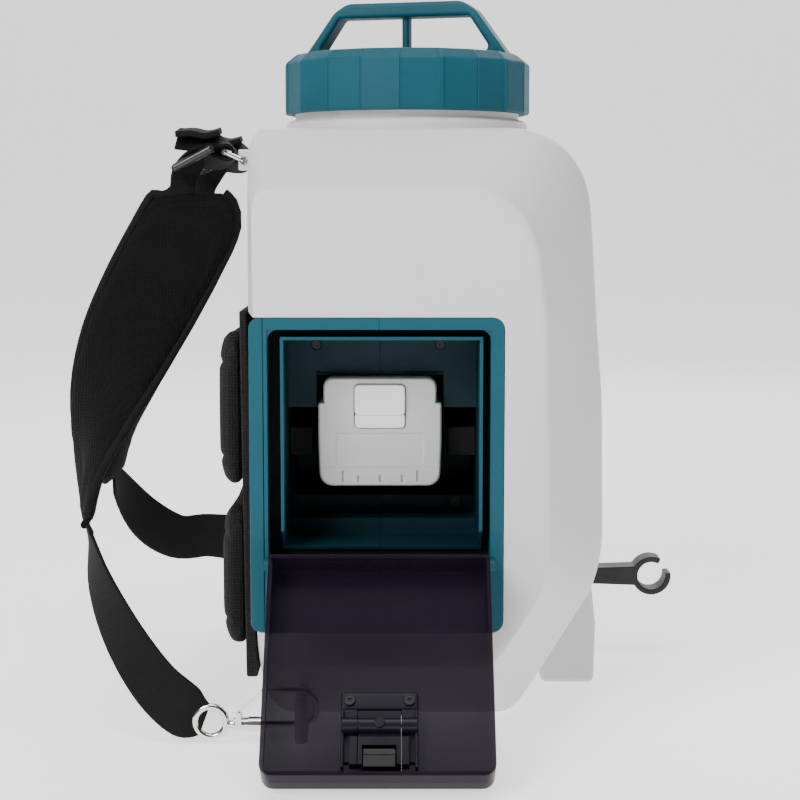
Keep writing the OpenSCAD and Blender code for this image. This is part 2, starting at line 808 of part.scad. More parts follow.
module gate(side) {
  hooked(side) difference() {
    union() {
      rod_y(-3, 3, gate_dx, gate_dz, 1.7);
      across(-3, 3) polygon([[gate_dx - 1, gate_dz - 0.4], [gate_dx - 1.4, gate_dz + 0.9],
        [-23, hook_r + 0.8], [-21.6, hook_r - 1]]);
    }
    rod_y(-4, 4, gate_dx, gate_dz, 0.8 + snug);
  }
}

module upper_ring_left() color(steel) upper_ring(-1);

module upper_ring_right() color(steel) upper_ring(1);

module upper_webbing_left() color(coal) upper_webbing(-1);

module upper_webbing_right() color(coal) upper_webbing(1);

module adjuster_left() color(coal) adjuster(-1);

module adjuster_right() color(coal) adjuster(1);

module shoulder_pad_left() color(coal) shoulder_pad(-1);

module shoulder_pad_right() color(coal) shoulder_pad(1);

module lower_webbing_left() color(coal) lower_webbing(-1);

module lower_webbing_right() color(coal) lower_webbing(1);

module snap_hook_left() color(steel) snap_hook(-1);

module snap_hook_right() color(steel) snap_hook(1);

module gate_left() color(steel) gate(-1);

module gate_right() color(steel) gate(1);

tank();
strainer_basket();
cap_seal();
filler_cap();
cap_handle();
vent_valve();
housing_front();
housing_rear();
housing_back();
housing_screws();
frame_gasket();
terminal_block();
side_pads();
battery_case();
battery_base();
battery_button();
battery_cells();
battery_terminals();
cover();
cover_pin();
latch_plate();
latch_screws();
latch_base();
latch_lever();
latch_hook();
latch_pin();
power_button();
status_lamp();
gauge_window();
control_board();
motor();
motor_shaft();
pump_cam();
pump_head();
suction_tube();
outlet_tube();
outlet_barb();
lance_clip();
back_board();
upper_cushion();
lower_cushion();
upper_ring_left();
upper_ring_right();
upper_webbing_left();
upper_webbing_right();
adjuster_left();
adjuster_right();
shoulder_pad_left();
shoulder_pad_right();
lower_webbing_left();
lower_webbing_right();
snap_hook_left();
snap_hook_right();
gate_left();
gate_right();
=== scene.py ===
import json
import math

import bmesh
import bpy
from mathutils import Matrix, Vector


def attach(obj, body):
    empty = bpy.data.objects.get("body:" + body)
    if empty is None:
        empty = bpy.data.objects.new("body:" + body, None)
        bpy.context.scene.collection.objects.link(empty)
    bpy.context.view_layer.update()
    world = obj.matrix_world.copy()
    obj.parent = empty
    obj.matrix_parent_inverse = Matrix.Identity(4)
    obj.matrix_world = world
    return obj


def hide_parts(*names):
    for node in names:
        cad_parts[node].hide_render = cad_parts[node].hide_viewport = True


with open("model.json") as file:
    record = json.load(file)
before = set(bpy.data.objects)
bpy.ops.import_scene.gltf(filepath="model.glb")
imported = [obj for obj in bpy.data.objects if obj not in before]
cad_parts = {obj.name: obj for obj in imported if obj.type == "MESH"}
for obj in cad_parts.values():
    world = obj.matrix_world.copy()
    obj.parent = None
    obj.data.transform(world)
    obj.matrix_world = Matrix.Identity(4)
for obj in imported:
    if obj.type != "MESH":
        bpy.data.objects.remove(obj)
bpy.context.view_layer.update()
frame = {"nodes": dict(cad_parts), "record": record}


# ---- Studio ----
# A pale seamless card lies under the sprayer and sweeps up behind it. A camera on a stand looks at
# its left side, a little downwards, and large soft lamps hang high round it.

class Wire:
    """One socket of a material, whose sums are written as plain Python."""

    def __init__(self, finish, socket):
        self.finish = finish
        self.socket = socket

    def sum(self, operation, *values):
        feeds = {number: value for number, value in enumerate(values)}
        return self.finish.node("Math", {"operation": operation}, feeds)

    def bent(self, operation):
        return self.sum(operation, self)

    def __add__(self, other):
        return self.sum("ADD", self, other)

    def __radd__(self, other):
        return self.sum("ADD", other, self)

    def __sub__(self, other):
        return self.sum("SUBTRACT", self, other)

    def __rsub__(self, other):
        return self.sum("SUBTRACT", other, self)

    def __mul__(self, other):
        return self.sum("MULTIPLY", self, other)

    def __rmul__(self, other):
        return self.sum("MULTIPLY", other, self)

    def __gt__(self, other):
        return self.sum("GREATER_THAN", self, other)

    def __lt__(self, other):
        return self.sum("LESS_THAN", self, other)


class Finish:
    """A surface finish: steady values go straight on the shader, and what varies is laid on it."""

    def __init__(self, name, colour, **steady):
        self.material = bpy.data.materials.new(name)
        self.material.use_nodes = True
        self.tree = self.material.node_tree
        self.shader = self.tree.nodes["Principled BSDF"]
        self.colour = (*colour, 1)
        self.shader.inputs["Base Color"].default_value = self.colour
        for socket, value in steady.items():
            self.shader.inputs[socket.replace("_", " ")].default_value = value

    def node(self, kind, settings, feeds, out=0):
        made = self.tree.nodes.new("ShaderNode" + kind)
        for name, value in settings.items():
            if name == "stops":
                stops = made.color_ramp.elements
                for stop, (place, shade) in zip(stops, value):
                    stop.position = place
                    stop.color = (shade, shade, shade, 1)
            else:
                setattr(made, name, value)
        for name, value in feeds.items():
            socket = made.inputs[name]
            if isinstance(value, Wire):
                self.tree.links.new(value.socket, socket)
            else:
                socket.default_value = value
        return Wire(self, made.outputs[out])

    def place(self, scale=(1, 1, 1), turn=(0, 0, 0)):
        """Where a point is on the object, in metres, scaled and turned."""
        coordinates = self.node("TexCoord", {}, {}, "Object")
        feeds = {"Vector": coordinates, "Scale": scale, "Rotation": turn}
        return self.node("Mapping", {}, feeds)

    def noise(self, scale, detail=3, rough=0.55, stretch=(1, 1, 1)):
        feeds = {"Vector": self.place(stretch), "Scale": scale, "Detail": detail,
                 "Roughness": rough}
        return self.node("TexNoise", {}, feeds)

    def mix(self, share, first, second):
        feeds = {0: share, 6: first, 7: second}
        return self.node("Mix", {"data_type": "RGBA"}, feeds, 2)

    def shades(self, share, dark=0.8, light=1.15):
        """The finish's own colour, from a darker to a lighter shade of it."""
        low = (*[value * dark for value in self.colour[:3]], 1)
        high = (*[min(value * light, 1) for value in self.colour[:3]], 1)
        return self.mix(share, low, high)

    def lay(self, **feeds):
        for name, wire in feeds.items():
            self.tree.links.new(wire.socket, self.shader.inputs[name.replace("_", " ")])

    def relief(self, height, depth, strength=1.0):
        """Raises the surface by a height of 0 to 1 times a depth in metres."""
        feeds = {"Height": height, "Distance": depth, "Strength": strength}
        self.lay(Normal=self.node("Bump", {}, feeds))

    def wear(self, *pieces):
        for piece in pieces:
            piece.data.materials.clear()
            piece.data.materials.append(self.material)


def alone(piece=None):
    """Leaves only this piece selected, or nothing."""
    if bpy.context.object and bpy.context.object.mode != "OBJECT":
        bpy.ops.object.mode_set(mode="OBJECT")
    for other in bpy.context.selected_objects:
        other.select_set(False)
    bpy.context.view_layer.objects.active = piece
    if piece:
        piece.select_set(True)


alone()
bpy.ops.mesh.primitive_plane_add(size=12, location=(0, 0, -0.0005))
card = bpy.context.object
card.name = "card"
bpy.ops.object.transform_apply(location=True)
bpy.ops.object.mode_set(mode="EDIT")
bpy.ops.mesh.select_all(action="DESELECT")
cage = bmesh.from_edit_mesh(card.data)
for edge in cage.edges:
    edge.select = all(corner.co.y > 5.9 for corner in edge.verts)
cage.select_flush(True)
bpy.ops.mesh.extrude_region_move(TRANSFORM_OT_translate={"value": (0, 0, 6)})
bpy.ops.object.mode_set(mode="OBJECT")
sweep = card.modifiers.new("sweep", "BEVEL")
sweep.width = 2.5
sweep.segments = 16
bpy.ops.object.modifier_apply(modifier="sweep")
bpy.ops.object.shade_smooth()
paper = Finish("pale_card", (0.9, 0.9, 0.9), Roughness=0.9, Emission_Strength=1.05)
paper.shader.inputs["Emission Color"].default_value = (1, 1, 1, 1)
paper.lay(Base_Color=paper.shades(paper.noise(3, 2), 0.99, 1.01))
paper.relief(paper.noise(900, 2), 0.0002, 0.3)
paper.wear(card)

camera = bpy.data.objects.new("camera", bpy.data.cameras.new("camera"))
camera.data.lens = 79.2
camera.data.sensor_width = 36
camera.location = (0, -1.2, 0.328)
CAMERA_DIP = 6.515
camera.rotation_euler = (math.radians(90 - CAMERA_DIP), 0, 0)
bpy.context.scene.collection.objects.link(camera)
bpy.context.scene.camera = camera

LAMP_TARGET = Vector((0, 0, 0.22))
LAMPS = (
    ("key", (-1.25, -1.75, 1.6), 1.1, 52),
    ("fill", (1.8, -1.1, 1.5), 1.4, 6),
    ("top", (0.1, -0.3, 2.1), 1.4, 25),
    ("back", (0.3, 1.7, 1.4), 1.5, 14),
)
for name, stand, size, watts in LAMPS:  # places and sizes in metres
    lamp = bpy.data.objects.new(name, bpy.data.lights.new(name, "AREA"))
    lamp.data.energy = watts
    lamp.data.size = size
    lamp.location = stand
    aim = LAMP_TARGET - Vector(stand)
    lamp.rotation_euler = aim.to_track_quat("-Z", "Y").to_euler()
    bpy.context.scene.collection.objects.link(lamp)

room = bpy.data.worlds.new("room")
room.use_nodes = True
room.node_tree.nodes["Background"].inputs["Color"].default_value = (0.93, 0.95, 1, 1)
room.node_tree.nodes["Background"].inputs["Strength"].default_value = 0.14
bpy.context.scene.world = room


# ---- Tank ----
# The tank is blow-moulded in milky polyethylene, in one piece with its neck, its foot and the lugs
# that hold the straps. Both side walls stand proud as flat panels, and the pump housing fills a
# notch in its lower back half.

def loft(name, rings):
    """A round face laid on the first ring of points and pulled along through the others."""
    alone()
    bpy.ops.mesh.primitive_circle_add(vertices=len(rings[0]), fill_type="NGON")
    piece = bpy.context.object
    piece.name = name
    for corner, point in zip(piece.data.vertices, rings[0]):
        corner.co = point
    bpy.ops.object.mode_set(mode="EDIT")
    bpy.ops.mesh.select_all(action="SELECT")
    for before, after in zip(rings, rings[1:]):
        bpy.ops.mesh.extrude_region_move()
        cage = bmesh.from_edit_mesh(piece.data)
        moved = [corner for corner in cage.verts if corner.select]
        for corner in moved:
            gaps = [(corner.co - Vector(point)).length_squared for point in before]
            corner.co = after[gaps.index(min(gaps))]
        bmesh.update_edit_mesh(piece.data)
    bpy.ops.mesh.select_all(action="SELECT")
    bpy.ops.mesh.normals_make_consistent(inside=False)
    bpy.ops.object.mode_set(mode="OBJECT")
    return piece


def block(name, low, high):
    """A cube pulled to its lowest and highest corners, in millimetres."""
    alone()
    middle = [(a + b) / 2000 for a, b in zip(low, high)]
    bpy.ops.mesh.primitive_cube_add(size=1, location=middle)
    piece = bpy.context.object
    piece.name = name
    piece.scale = [(b - a) / 1000 for a, b in zip(low, high)]
    bpy.ops.object.transform_apply(location=True, rotation=True, scale=True)
    return piece


def bar(name, start, end, radius, sides=32):
    """A round bar between two points, in millimetres."""
    alone()
    line = Vector(end) - Vector(start)
    turn = line.to_track_quat("Z", "Y").to_euler()
    middle = (Vector(start) + Vector(end)) / 2000
    bpy.ops.mesh.primitive_cylinder_add(
        vertices=sides, radius=radius / 1000, depth=line.length / 1000, location=middle, rotation=turn)
    piece = bpy.context.object
    piece.name = name
    bpy.ops.object.transform_apply(location=True, rotation=True, scale=True)
    return piece


def worked(piece, kind, **settings):
    """One modifier, set and applied at once."""
    alone(piece)
    step = piece.modifiers.new("step", kind)
    for name, value in settings.items():
        setattr(step, name, value)
    bpy.ops.object.modifier_apply(modifier=step.name)
    return piece


def cut(piece, *tools):
    for tool in tools:
        worked(piece, "BOOLEAN", object=tool, operation="DIFFERENCE", solver="EXACT")
        bpy.data.objects.remove(tool)
    return piece


def fused(piece, *others):
    for other in others:
        worked(piece, "BOOLEAN", object=other, operation="UNION", solver="EXACT")
        bpy.data.objects.remove(other)
    return piece


def eased(piece, width, steps=3, angle=30):
    """Rounds the sharp edges by a width in millimetres."""
    return worked(piece, "BEVEL", width=width / 1000, segments=steps, limit_method="ANGLE",
                  angle_limit=math.radians(angle), miter_outer="MITER_ARC")


def smooth(piece, angle=35):
    """Shades the rounded edges smoothly and keeps the broad faces flat."""
    alone(piece)
    bpy.ops.object.shade_smooth_by_angle(angle=math.radians(angle))
    return worked(piece, "WEIGHTED_NORMAL", keep_sharp=True)


def tidied(piece):
    """Closes doubled corners and turns every face outwards."""
    alone(piece)
    bpy.ops.object.mode_set(mode="EDIT")
    bpy.ops.mesh.select_all(action="SELECT")
    bpy.ops.mesh.remove_doubles(threshold=0.00001)
    bpy.ops.mesh.normals_make_consistent(inside=False)
    bpy.ops.object.mode_set(mode="OBJECT")
    return piece


def spokes(outline, middle, count):
    """Points where evenly turned spokes from the middle meet an outline of (x, z) corners."""
    found = []
    for i in range(count):
        turn = 2 * math.pi * i / count
        way = Vector((math.cos(turn), math.sin(turn)))
        far = 0
        for a, b in zip(outline, outline[1:] + outline[:1]):
            a, b = Vector(a) - Vector(middle), Vector(b) - Vector(middle)
            side = b - a
            across = way.x * side.y - way.y * side.x
            if abs(across) < 1e-9:
                continue
            reach = (a.x * side.y - a.y * side.x) / across
            share = (a.x * way.y - a.y * way.x) / across
            if reach > 0 and -1e-6 <= share <= 1 + 1e-6:
                far = max(far, reach)
        found.append(Vector(middle) + way * far)
    return found


def rounded(points, times=2):
    """Softens a closed run of points by averaging neighbours."""
    for _ in range(times):
        points = [(points[i - 1] + 2 * points[i] + points[(i + 1) % len(points)]) / 4
                  for i in range(len(points))]
    return points


TANK_MIDDLE = (17, 190)
SPOKE_COUNT = 216
band = [(-91, 372), (-93.5, 369), (-95, 334), (-95, 259), (-91, 41), (-86, 12), (-76, 0),
        (72, 0), (122, 80), (127, 97), (129, 113), (127.5, 202), (124, 246), (119, 324),
        (116, 340), (105, 358), (90, 368), (75, 372)]
panel = [(-88, 334), (47, 334), (62, 328), (75, 316), (82, 298), (88, 251), (91, 112),
         (84, 88), (66, 60), (55, 46), (-80, 46), (-86, 70)]
band = rounded(spokes(band, TANK_MIDDLE, SPOKE_COUNT))
panel = rounded(spokes(panel, TANK_MIDDLE, SPOKE_COUNT))
# Each step is a distance across the tank and a share of the way from the panel to the band; a share
# below zero lies inside the panel.
STEPS = ((-160, -0.13), (-160, -0.06), (-159.7, -0.03), (-159, -0.005), (-157.6, 0.02),
         (-155.5, 0.055), (-152, 0.11), (-140, 0.33), (-124, 0.62), (-108, 0.88), (-103.5, 0.95),
         (-100, 0.985), (-96, 1), (-88, 1))
rings = []
for y, share in STEPS + tuple((-y, share) for y, share in STEPS[::-1]):
    if share < 0:
        ring = [point + (Vector(TANK_MIDDLE) - point) * -share for point in panel]
    else:
        ring = [point + (far - point) * share for point, far in zip(panel, band)]
    rings.append([(point.x / 1000, y / 1000, point.y / 1000) for point in ring])
tank = loft("tank_body", rings)
notch = eased(block("notch", (-200, -175, 67.6), (62.4, 175, 258.4)), 7.4, 5)
cut(tank, notch)
foot = loft("foot", [[(x / 1000, y / 1000, z / 1000) for x, z in
                      ((96, 0), (132, 0), (133, 41), (128, 84), (112, 84), (92, 30))] for y in (-30, 30)])
fused(tank, eased(foot, 4))
STRAP_Y = 75
HOOK_Y = 164
for side in (-1, 1):
    y = side * STRAP_Y
    lug = block("lug", (-102, y - 6, 346), (-88, y + 6, 359))
    cut(lug, bar("eye", (-98.5, y - 9, 352), (-98.5, y + 9, 352), 2.3))
    low, high = sorted((side * 100, side * 171))
    tab = eased(block("tab", (-63.7, low, 1), (-55.9, high, 29)), 3)
    cut(tab, bar("eye", (-70, side * HOOK_Y, 12.3), (-50, side * HOOK_Y, 12.3), 4.6))
    fused(tank, eased(lug, 1), tab)
CAP_X = 4.7


def turned(name, profile, sides):
    """A shape turned about the cap's axis, from (radius, height) in millimetres."""
    rings = []
    for radius, z in profile:
        ring = []
        for i in range(sides):
            turn = 2 * math.pi * i / sides
            x, y = CAP_X + radius * math.sin(turn), -radius * math.cos(turn)
            ring.append((x / 1000, y / 1000, z / 1000))
        rings.append(ring)
    return loft(name, rings)


NECK_SIDES = 128
COLLAR = ((80, 366), (81, 367), (81, 376.6), (80.3, 378), (78, 379.6), (76.4, 380))
NECK = ((75, 366), (75, 384), (75.6, 384.6), (75.6, 385.6), (75, 386), (75, 390), (75.6, 390.6),
        (75.6, 391.6), (75, 392), (75, 397.4), (74.4, 398))
fused(tank, turned("collar", COLLAR, NECK_SIDES), turned("neck", NECK, NECK_SIDES))
cut(tank, turned("mouth", ((70, 345), (70, 396.8), (71.4, 399)), NECK_SIDES))
tidied(tank)
smooth(tank, 32)
milk = Finish("milky_polythene", (0.72, 0.71, 0.71), Roughness=0.42, Subsurface_Weight=0.12,
              Subsurface_Scale=0.01, IOR=1.45)
milk.shader.inputs["Subsurface Radius"].default_value = (1, 0.9, 0.8)
cloud = milk.noise(9, 4)
drawn = milk.noise(26, 3, 0.6, (1, 1, 0.12))
x, z = (milk.node("SeparateXYZ", {}, {"Vector": milk.place()}, axis) for axis in "XZ")
# Painted shade: the tank's colour darkens past x = 70 mm, on the flank away from the back pad, and below
# 300 mm towards the foot, standing in for the shade that falls there.
rear_shade = milk.node("Clamp", {}, {"Value": (x - 0.07) * 22})
low_shade = milk.node("Clamp", {}, {"Value": (0.3 - z) * 4})
painted_shade = rear_shade * 0.8 + low_shade * 0.5
milk.lay(Base_Color=milk.shades(0.75 + cloud * 0.3 + drawn * 0.2 - painted_shade * 0.7, 0.84, 1.06),
         Roughness=0.34 + milk.noise(60, 4) * 0.2)
seam = (x > 0.0112) * (x < 0.0124) * (z > 0.262)
milk.relief(milk.noise(14, 3) * 0.8 + milk.noise(420, 3) * 0.05 + seam * 0.12, 0.0012, 0.6)
milk.wear(tank)
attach(tank, "tank")
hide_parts("tank")


# ---- Strainer and seal ----
# The strainer basket hangs in the neck, moulded in black plastic. The cap's ring seal is soft
# rubber and rests on the basket's rim.

bodies = frame["record"]["behaviour"]["bodies"]
BODY_OF = {node: body for body, nodes in bodies.items() for node in nodes}


def softened(node, width=0.0, steps=2):
    """A copy of a CAD node with its doubles closed and its sharp edges eased, in millimetres."""
    alone(frame["nodes"][node])
    bpy.ops.object.duplicate()
    piece = bpy.context.object
    piece.parent = None
    piece.matrix_world = Matrix.Identity(4)
    piece.name = node + "_piece"
    alone(piece)
    bpy.ops.object.mode_set(mode="EDIT")
    bpy.ops.mesh.select_all(action="SELECT")
    bpy.ops.mesh.remove_doubles(threshold=0.000005)
    bpy.ops.mesh.dissolve_limited(angle_limit=math.radians(1))
    bpy.ops.object.mode_set(mode="OBJECT")
    if width:
        eased(piece, width, steps)
    smooth(piece, 32)
    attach(piece, BODY_OF[node])
    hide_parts(node)
    return piece


black = Finish("black_nylon", (0.011, 0.011, 0.012), Roughness=0.5, Specular_IOR_Level=0.35)
black.lay(Base_Color=black.shades(black.noise(40, 3), 0.8, 1.3),
          Roughness=0.4 + black.noise(90, 3) * 0.22)
black.relief(black.noise(1500, 2), 0.0002, 0.35)
rubber = Finish("seal_rubber", (0.006, 0.006, 0.006), Roughness=0.8, Specular_IOR_Level=0.25)
rubber.lay(Base_Color=rubber.shades(rubber.noise(60, 3), 0.8, 1.4),
           Roughness=0.68 + rubber.noise(80, 3) * 0.2)
rubber.relief(rubber.noise(900, 2), 0.0002, 0.4)
black.wear(softened("strainer_basket", 0.4))
rubber.wear(softened("cap_seal"))


# ---- Filler cap and handle ----
# The cap is moulded in teal plastic, with a skirt of twenty flat grips and a thin rib at some of
# their corners. Its bail handle, with a middle post, is moulded on, and a vent valve sits inside.

RIB = ((-1.3, -0.15), (-0.9, 0.55), (0.9, 0.55), (1.3, -0.15))
GROOVE = ((-0.6, -0.05), (-0.25, -0.5), (0.25, -0.5), (0.6, -0.05))
RIBBED_CORNERS = {15, 51, 105, 141, 195, 231, 285, 321}


def grip_ring(radius, z):
    """One level of the cap's skirt: twenty corners, each with a rib or with a fine groove."""
    ring = []
    for corner in range(-3, 357, 18):
        for turn, proud in RIB if corner in RIBBED_CORNERS else GROOVE:
            turn = math.radians(corner + turn)
            reach = radius + proud
            x, y = CAP_X + reach * math.sin(turn), -reach * math.cos(turn)
            ring.append((x / 1000, y / 1000, z / 1000))
    return ring


CAP_LEVELS = ((81.2, 384), (82.0, 384.6), (82.2, 385.6), (82.2, 416.2), (81.4, 417.4),
              (75.6, 422), (74.6, 422.7), (73.4, 423))
cap = loft("cap_shell", [grip_ring(radius, z) for radius, z in CAP_LEVELS])
cut(cap, turned("skirt_room", ((75.8, 380), (75.8, 402.9)), 64),
    turned("crown_room", ((62, 400), (62, 418)), 64))
tidied(cap)
smooth(cap, 11)


def filleted(outline, radii, steps=5):
    """Rounds the corners of a closed outline of (x, z) points, by one radius or by one for each."""
    if not isinstance(radii, tuple):
        radii = (radii,) * len(outline)
    made = []
    for i, (corner, radius) in enumerate(zip(outline, radii)):
        corner = Vector(corner)
        if not radius:
            made.append(corner)
            continue
        back = Vector(outline[i - 1]) - corner
        on = Vector(outline[(i + 1) % len(outline)]) - corner
        angle = back.angle(on) / 2
        reach = min(radius / math.tan(angle), back.length * 0.49, on.length * 0.49)
        bend = reach * math.tan(angle)
        back.normalize()
        on.normalize()
        middle = corner + (back + on).normalized() * (bend / math.sin(angle))
        first = corner + back * reach - middle
        last = corner + on * reach - middle
        sweep = first.angle_signed(last)
        for k in range(steps + 1):
            made.append(middle + Matrix.Rotation(-sweep * k / steps, 2) @ first)
    return made


def plate(name, outline, y0, y1, ease=0.0, steps=3):
    """A plate cut to an outline of (x, z) points, from y0 to y1, in millimetres."""
    rings = [[(x / 1000, y / 1000, z / 1000) for x, z in outline] for y in (y0, y1)]
    piece = loft(name, rings)
    return eased(piece, ease, steps, 40) if ease else piece


HANDLE_TURN = math.radians(16)
half = [(73.2, 419), (48.6, 452.3), (39.5, 458)]
arch = half + [(-x, z) for x, z in half[::-1]]
window = [(60.5, 424.6), (44.5, 448.2), (-44.5, 448.2), (-60.5, 424.6)]
handle = plate("bail_handle", filleted(arch, (0, 14, 12, 12, 14, 0)), -10, 10)
cut(handle, plate("window", filleted(window, 3.5), -20, 20))
eased(handle, 2.7, 4)
fused(handle, eased(block("post", (-2.4, -5, 425), (2.4, 5, 451)), 1.8))
alone(handle)
bpy.ops.object.mode_set(mode="EDIT")
bpy.ops.mesh.select_all(action="SELECT")
bpy.ops.transform.rotate(value=HANDLE_TURN, orient_axis="Z", center_override=(0, 0, 0))
bpy.ops.transform.translate(value=(CAP_X / 1000, 0, 0))
bpy.ops.object.mode_set(mode="OBJECT")
tidied(handle)
smooth(handle, 40)
teal = Finish("teal_plastic", (0.0085, 0.080, 0.113), Roughness=0.48, Specular_IOR_Level=0.2)
mottle = teal.noise(34, 4) * 0.55 + teal.noise(18, 3, 0.6, (0.3, 0.3, 3)) * 0.45
x, y, z = (teal.node("SeparateXYZ", {}, {"Vector": teal.place()}, axis) for axis in "XYZ")
# Painted shade: inside the bay the teal is mixed towards a near-black teal. The mix is none at the bay's
# mouth and nine tenths about 17 mm in, standing in for the shade deep in the bay.
bay_shade_area = (x > -0.0716) * (x < 0.0496) * (z > 0.1159) * (z < 0.2468) * (y < 0.02)
bay_shade = bay_shade_area * teal.node("Clamp", {}, {"Value": (y + 0.1585) * 60}) * 0.9
BAY_SHADE_TEAL = (0.0016, 0.016, 0.023, 1)
teal.lay(Base_Color=teal.mix(bay_shade, teal.shades(mottle, 0.86, 1.18), BAY_SHADE_TEAL),
         Roughness=0.4 + teal.noise(120, 3) * 0.22)
teal.relief(teal.noise(1300, 2) * 0.6 + teal.noise(60, 2), 0.0003, 0.5)
teal.wear(cap, handle)
for piece, node in ((cap, "filler_cap"), (handle, "cap_handle")):
    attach(piece, "cap")
    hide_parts(node)
natural = Finish("natural_nylon", (0.5, 0.49, 0.46), Roughness=0.45, Subsurface_Weight=0.1)
natural.lay(Base_Color=natural.shades(natural.noise(50, 3), 0.85, 1.1),
            Roughness=0.35 + natural.noise(90, 3) * 0.2)
natural.relief(natural.noise(700, 2), 0.0002, 0.3)
natural.wear(softened("vent_valve", 0.4))


# ---- Pump housing ----
# Two teal shells meet at a seam down the middle of the bay, and a narrow strip closes them beside
# the back pad. They are screwed together, and a rubber gasket lies in the groove round the bay.

def web(name, corner, toward, radius, y0, y1):
    """The piece between a square corner and an arc in it; toward is the way to the arc's middle."""
    corner, toward = Vector(corner), Vector(toward)
    middle = corner + toward * radius
    start = math.atan2(-toward.y, -toward.x) - math.pi / 4
    arc = []
    for k in range(7):
        turn = start + math.pi / 2 * k / 6
        arc.append(middle + radius * Vector((math.cos(turn), math.sin(turn))))
    return plate(name, [corner - toward * 0.6] + arc, y0, y1)


for node in ("housing_front", "housing_rear", "housing_back"):
    shell = softened(node, 0.7)
    if node == "housing_front":
        fused(shell, web("groove_corner", (-79, 251), (1, -1), 6.5, -159.2, -139.2),
              block("notch_top", (-53, -109.4, 219.4), (-12.45, -92, 222.5)))
    if node == "housing_rear":
        fused(shell, web("groove_corner", (54, 251), (-1, -1), 6.5, -159.2, -139.2),
              block("notch_top", (-12.35, -109.4, 219.4), (28, -92, 222.5)))
        cut(shell, web("top_corner", (62, 258), (-1, -1), 7, -170, 170),
            web("bottom_corner", (62, 68), (-1, 1), 7, -170, 170))
    smooth(tidied(shell), 32)
    teal.wear(shell)
rubber.wear(softened("frame_gasket", 0.3), softened("side_pads", 0.8))
black.wear(softened("terminal_block", 0.6))

screw_black = Finish("blackened_screws", (0.02, 0.02, 0.022), Metallic=0.5, Roughness=0.42)
screw_black.lay(Roughness=0.3 + screw_black.noise(200, 3) * 0.25,
                Base_Color=screw_black.shades(screw_black.noise(150, 3), 0.7, 1.3))
screw_black.relief(screw_black.noise(900, 2), 0.0001, 0.3)


def recessed(piece, spots, way):
    """Sinks a six-point socket into each screw head."""
    for spot in spots:
        start = Vector(spot) - Vector(way) * 0.8
        cut(piece, bar("socket", start, Vector(spot) + Vector(way) * 0.9, 1.5, 6))
    return smooth(piece, 30)


screws = softened("housing_screws", 0.3)
screw_black.wear(recessed(screws, ((-52, -109, 238), (25, -109, 238), (36, -74, 132.5)), (0, 1, 0)))


# ---- Battery pack ----
# The pack's case and base are moulded in pale grey plastic and screwed together round ten cells.
# A white button on its end frees the catch, and brass blades reach the terminal block.

PACK_X = -12.4
pack = [(-37.2, 151), (37.2, 151), (38.25, 178), (38.25, 203), (35, 203), (35, 218.5),
        (-35, 218.5), (-35, 203), (-38.25, 203), (-38.25, 178)]
pack = filleted(pack, (8, 8, 8, 1.8, 0, 5.5, 5.5, 0, 1.8, 8))
pack_middle = Vector((0, 184))
pack_rings = []
for y, shrink in ((-122, 2.2), (-121.7, 1.2), (-120.8, 0.4), (-119.4, 0), (-24, 0),
                  (-22.6, 0.8), (-22, 2)):
    ring = [point + (pack_middle - point).normalized() * shrink for point in pack]
    pack_rings.append([((point.x + PACK_X) / 1000, y / 1000, point.y / 1000) for point in ring])
case = loft("pack_case", pack_rings)
room = filleted([(-28.5, 187), (3.7, 187), (3.7, 215), (-28.5, 215)], 3.4)
cut(case, plate("button_room", room, -130, -117))
cut(case, eased(block("face_panel", (-40.4, -130, 163.6), (15.6, -121.2, 185)), 2))
base = loft("pack_base", pack_rings)
cut(base, block("above", (-80, -150, 162.95), (60, 0, 260)))
cut(case, block("below", (-80, -150, 100), (60, 0, 163.05)))
for x, top in ((-35.4, 161), (-26, 158), (-12.4, 158), (1.2, 158), (10.6, 161)):
    cut(base, eased(block("vent", (x - 0.6, -125, 154), (x + 0.6, -120.4, top)), 0.3))
grey = Finish("pack_grey", (0.56, 0.56, 0.56), Roughness=0.38)
grey.lay(Base_Color=grey.shades(grey.noise(30, 3), 0.95, 1.06),
         Roughness=0.34 + grey.noise(100, 3) * 0.18)
grey.relief(grey.noise(1200, 2), 0.0002, 0.35)
for piece, node in ((case, "battery_case"), (base, "battery_base")):
    tidied(piece)
    smooth(piece, 32)
    grey.wear(piece)
    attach(piece, "battery")
    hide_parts(node)

push = filleted([(-28, 195.4), (3.2, 195.4), (3.2, 214.5), (-28, 214.5)], 3)
dish = filleted([(-25.4, 198), (0.6, 198), (0.6, 212), (-25.4, 212)], 1.6)
lip = filleted([(-28, 187.4), (3.2, 187.4), (3.2, 197), (-28, 197)], 3)
key = plate("release_button", push, -124.8, -119, 1.1)
cut(key, plate("dish", dish, -130, -124.2, 0.4))
fused(key, plate("lip", lip, -123.6, -119, 1))
tidied(key)
smooth(key, 34)
white = Finish("white_button", (0.97, 0.965, 0.95), Roughness=0.38)
white.lay(Base_Color=white.shades(white.noise(40, 3), 0.96, 1.02),
          Roughness=0.3 + white.noise(90, 3) * 0.16)
white.relief(white.noise(900, 2), 0.0002, 0.3)
white.wear(key)
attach(key, "battery_release")
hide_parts("battery_button")

cell = Finish("cell_cans", (0.42, 0.42, 0.43), Metallic=1.0, Roughness=0.35)
cell.lay(Roughness=0.28 + cell.noise(80, 3, 0.6, (1, 20, 1)) * 0.2,
         Base_Color=cell.shades(cell.noise(70, 3), 0.8, 1.15))
cell.relief(cell.noise(500, 2), 0.0001, 0.3)
cell.wear(softened("battery_cells", 0.5))
brass = Finish("brass_blades", (0.62, 0.42, 0.16), Metallic=1.0, Roughness=0.32)
brass.lay(Roughness=0.24 + brass.noise(150, 3) * 0.2,
          Base_Color=brass.shades(brass.noise(90, 3), 0.8, 1.15))
brass.relief(brass.noise(700, 2), 0.0001, 0.3)
brass.wear(softened("battery_terminals", 0.3))


# ---- Bay cover ----
# The cover is a shallow tray of smoked clear plastic. It hangs open on a steel pin that passes
# through the housing's ears and the cover's own barrel.

